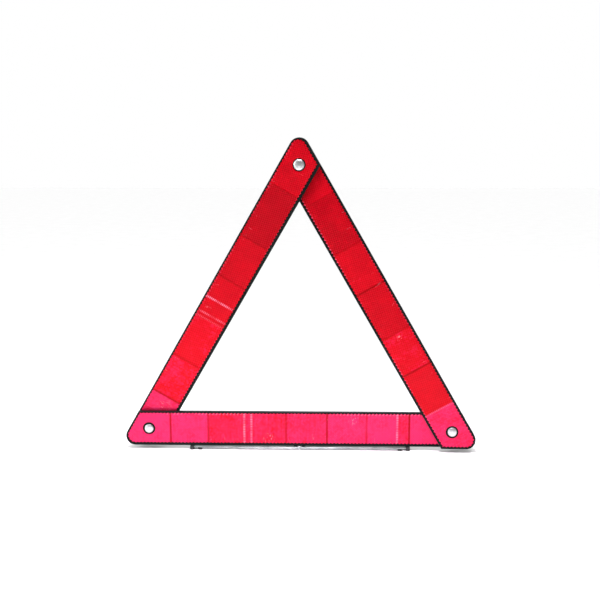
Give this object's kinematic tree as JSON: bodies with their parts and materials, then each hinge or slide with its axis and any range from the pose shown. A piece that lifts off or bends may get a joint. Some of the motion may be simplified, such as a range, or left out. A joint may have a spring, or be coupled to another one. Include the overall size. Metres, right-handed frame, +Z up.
{
  "type": "folding warning triangle",
  "caption": "Folding reflective warning triangle: flat hinged arms with red prismatic strips on the front, a locking corner, and crossed swing-out feet under the base arm.",
  "frame": {"origin": "under the middle of the whole triangle, at the level its feet rest on", "axes": "+X along the base arm to the right as seen from the reflective front, +Y from front to back, +Z up"},
  "size_m": [0.4348, 0.0166, 0.3844],
  "materials": {
    "arm_plastic": "black, fine pebbled grain on the faces, smoother on the rounded edges",
    "reflective_tape": "glossy red prismatic film with a fine cell lattice and cross seams",
    "rivet_steel": "bright zinc-plated steel",
    "spacer_nylon": "natural nylon",
    "leg_steel": "plain spring steel, lightly brushed along its length",
    "tip_rubber": "matt black rubber"
  },
  "bodies": {
    "base": {"base_arm": "arm_plastic", "base_reflector": "reflective_tape", "lower_left_rivet": "rivet_steel", "lower_left_rivet_washer": "rivet_steel", "lower_left_spacer_washer": "spacer_nylon", "leg_rivet": "rivet_steel", "leg_spacer_bush": "rivet_steel"},
    "left_arm": {"left_arm": "arm_plastic", "left_reflector": "reflective_tape", "top_rivet": "rivet_steel", "top_rivet_washer": "rivet_steel", "top_spacer_washer": "spacer_nylon"},
    "right_arm": {"right_arm": "arm_plastic", "right_reflector": "reflective_tape", "lock_stud": "rivet_steel", "lock_stud_flange": "rivet_steel"},
    "upper_leg": {"upper_leg": "leg_steel", "upper_leg_tip_left": "tip_rubber", "upper_leg_tip_right": "tip_rubber"},
    "lower_leg": {"lower_leg": "leg_steel", "lower_leg_tip_left": "tip_rubber", "lower_leg_tip_right": "tip_rubber"}
  },
  "joints": [
    {"name": "left_arm_hinge", "type": "hinge", "parent": "base", "child": "left_arm", "pos_m": [-0.18809, 0.00019, 0.0267], "axis": [0.0213, -0.9991, -0.0368], "range_deg": [0, 300]},
    {"name": "right_arm_hinge", "type": "hinge", "parent": "left_arm", "child": "right_arm", "pos_m": [0.00004, 0.00019, 0.3524], "axis": [-0.0425, -0.9991, 0], "range_deg": [0, 300]},
    {"name": "upper_leg_swing", "type": "hinge", "parent": "base", "child": "upper_leg", "pos_m": [0, 0.0002, 0.003], "axis": [0, 0, 1], "range_deg": [0, 50]},
    {"name": "lower_leg_swing", "type": "hinge", "parent": "base", "child": "lower_leg", "pos_m": [0, 0.0002, 0.0015], "axis": [0, 0, 1], "range_deg": [-50, 0]}
  ]
}
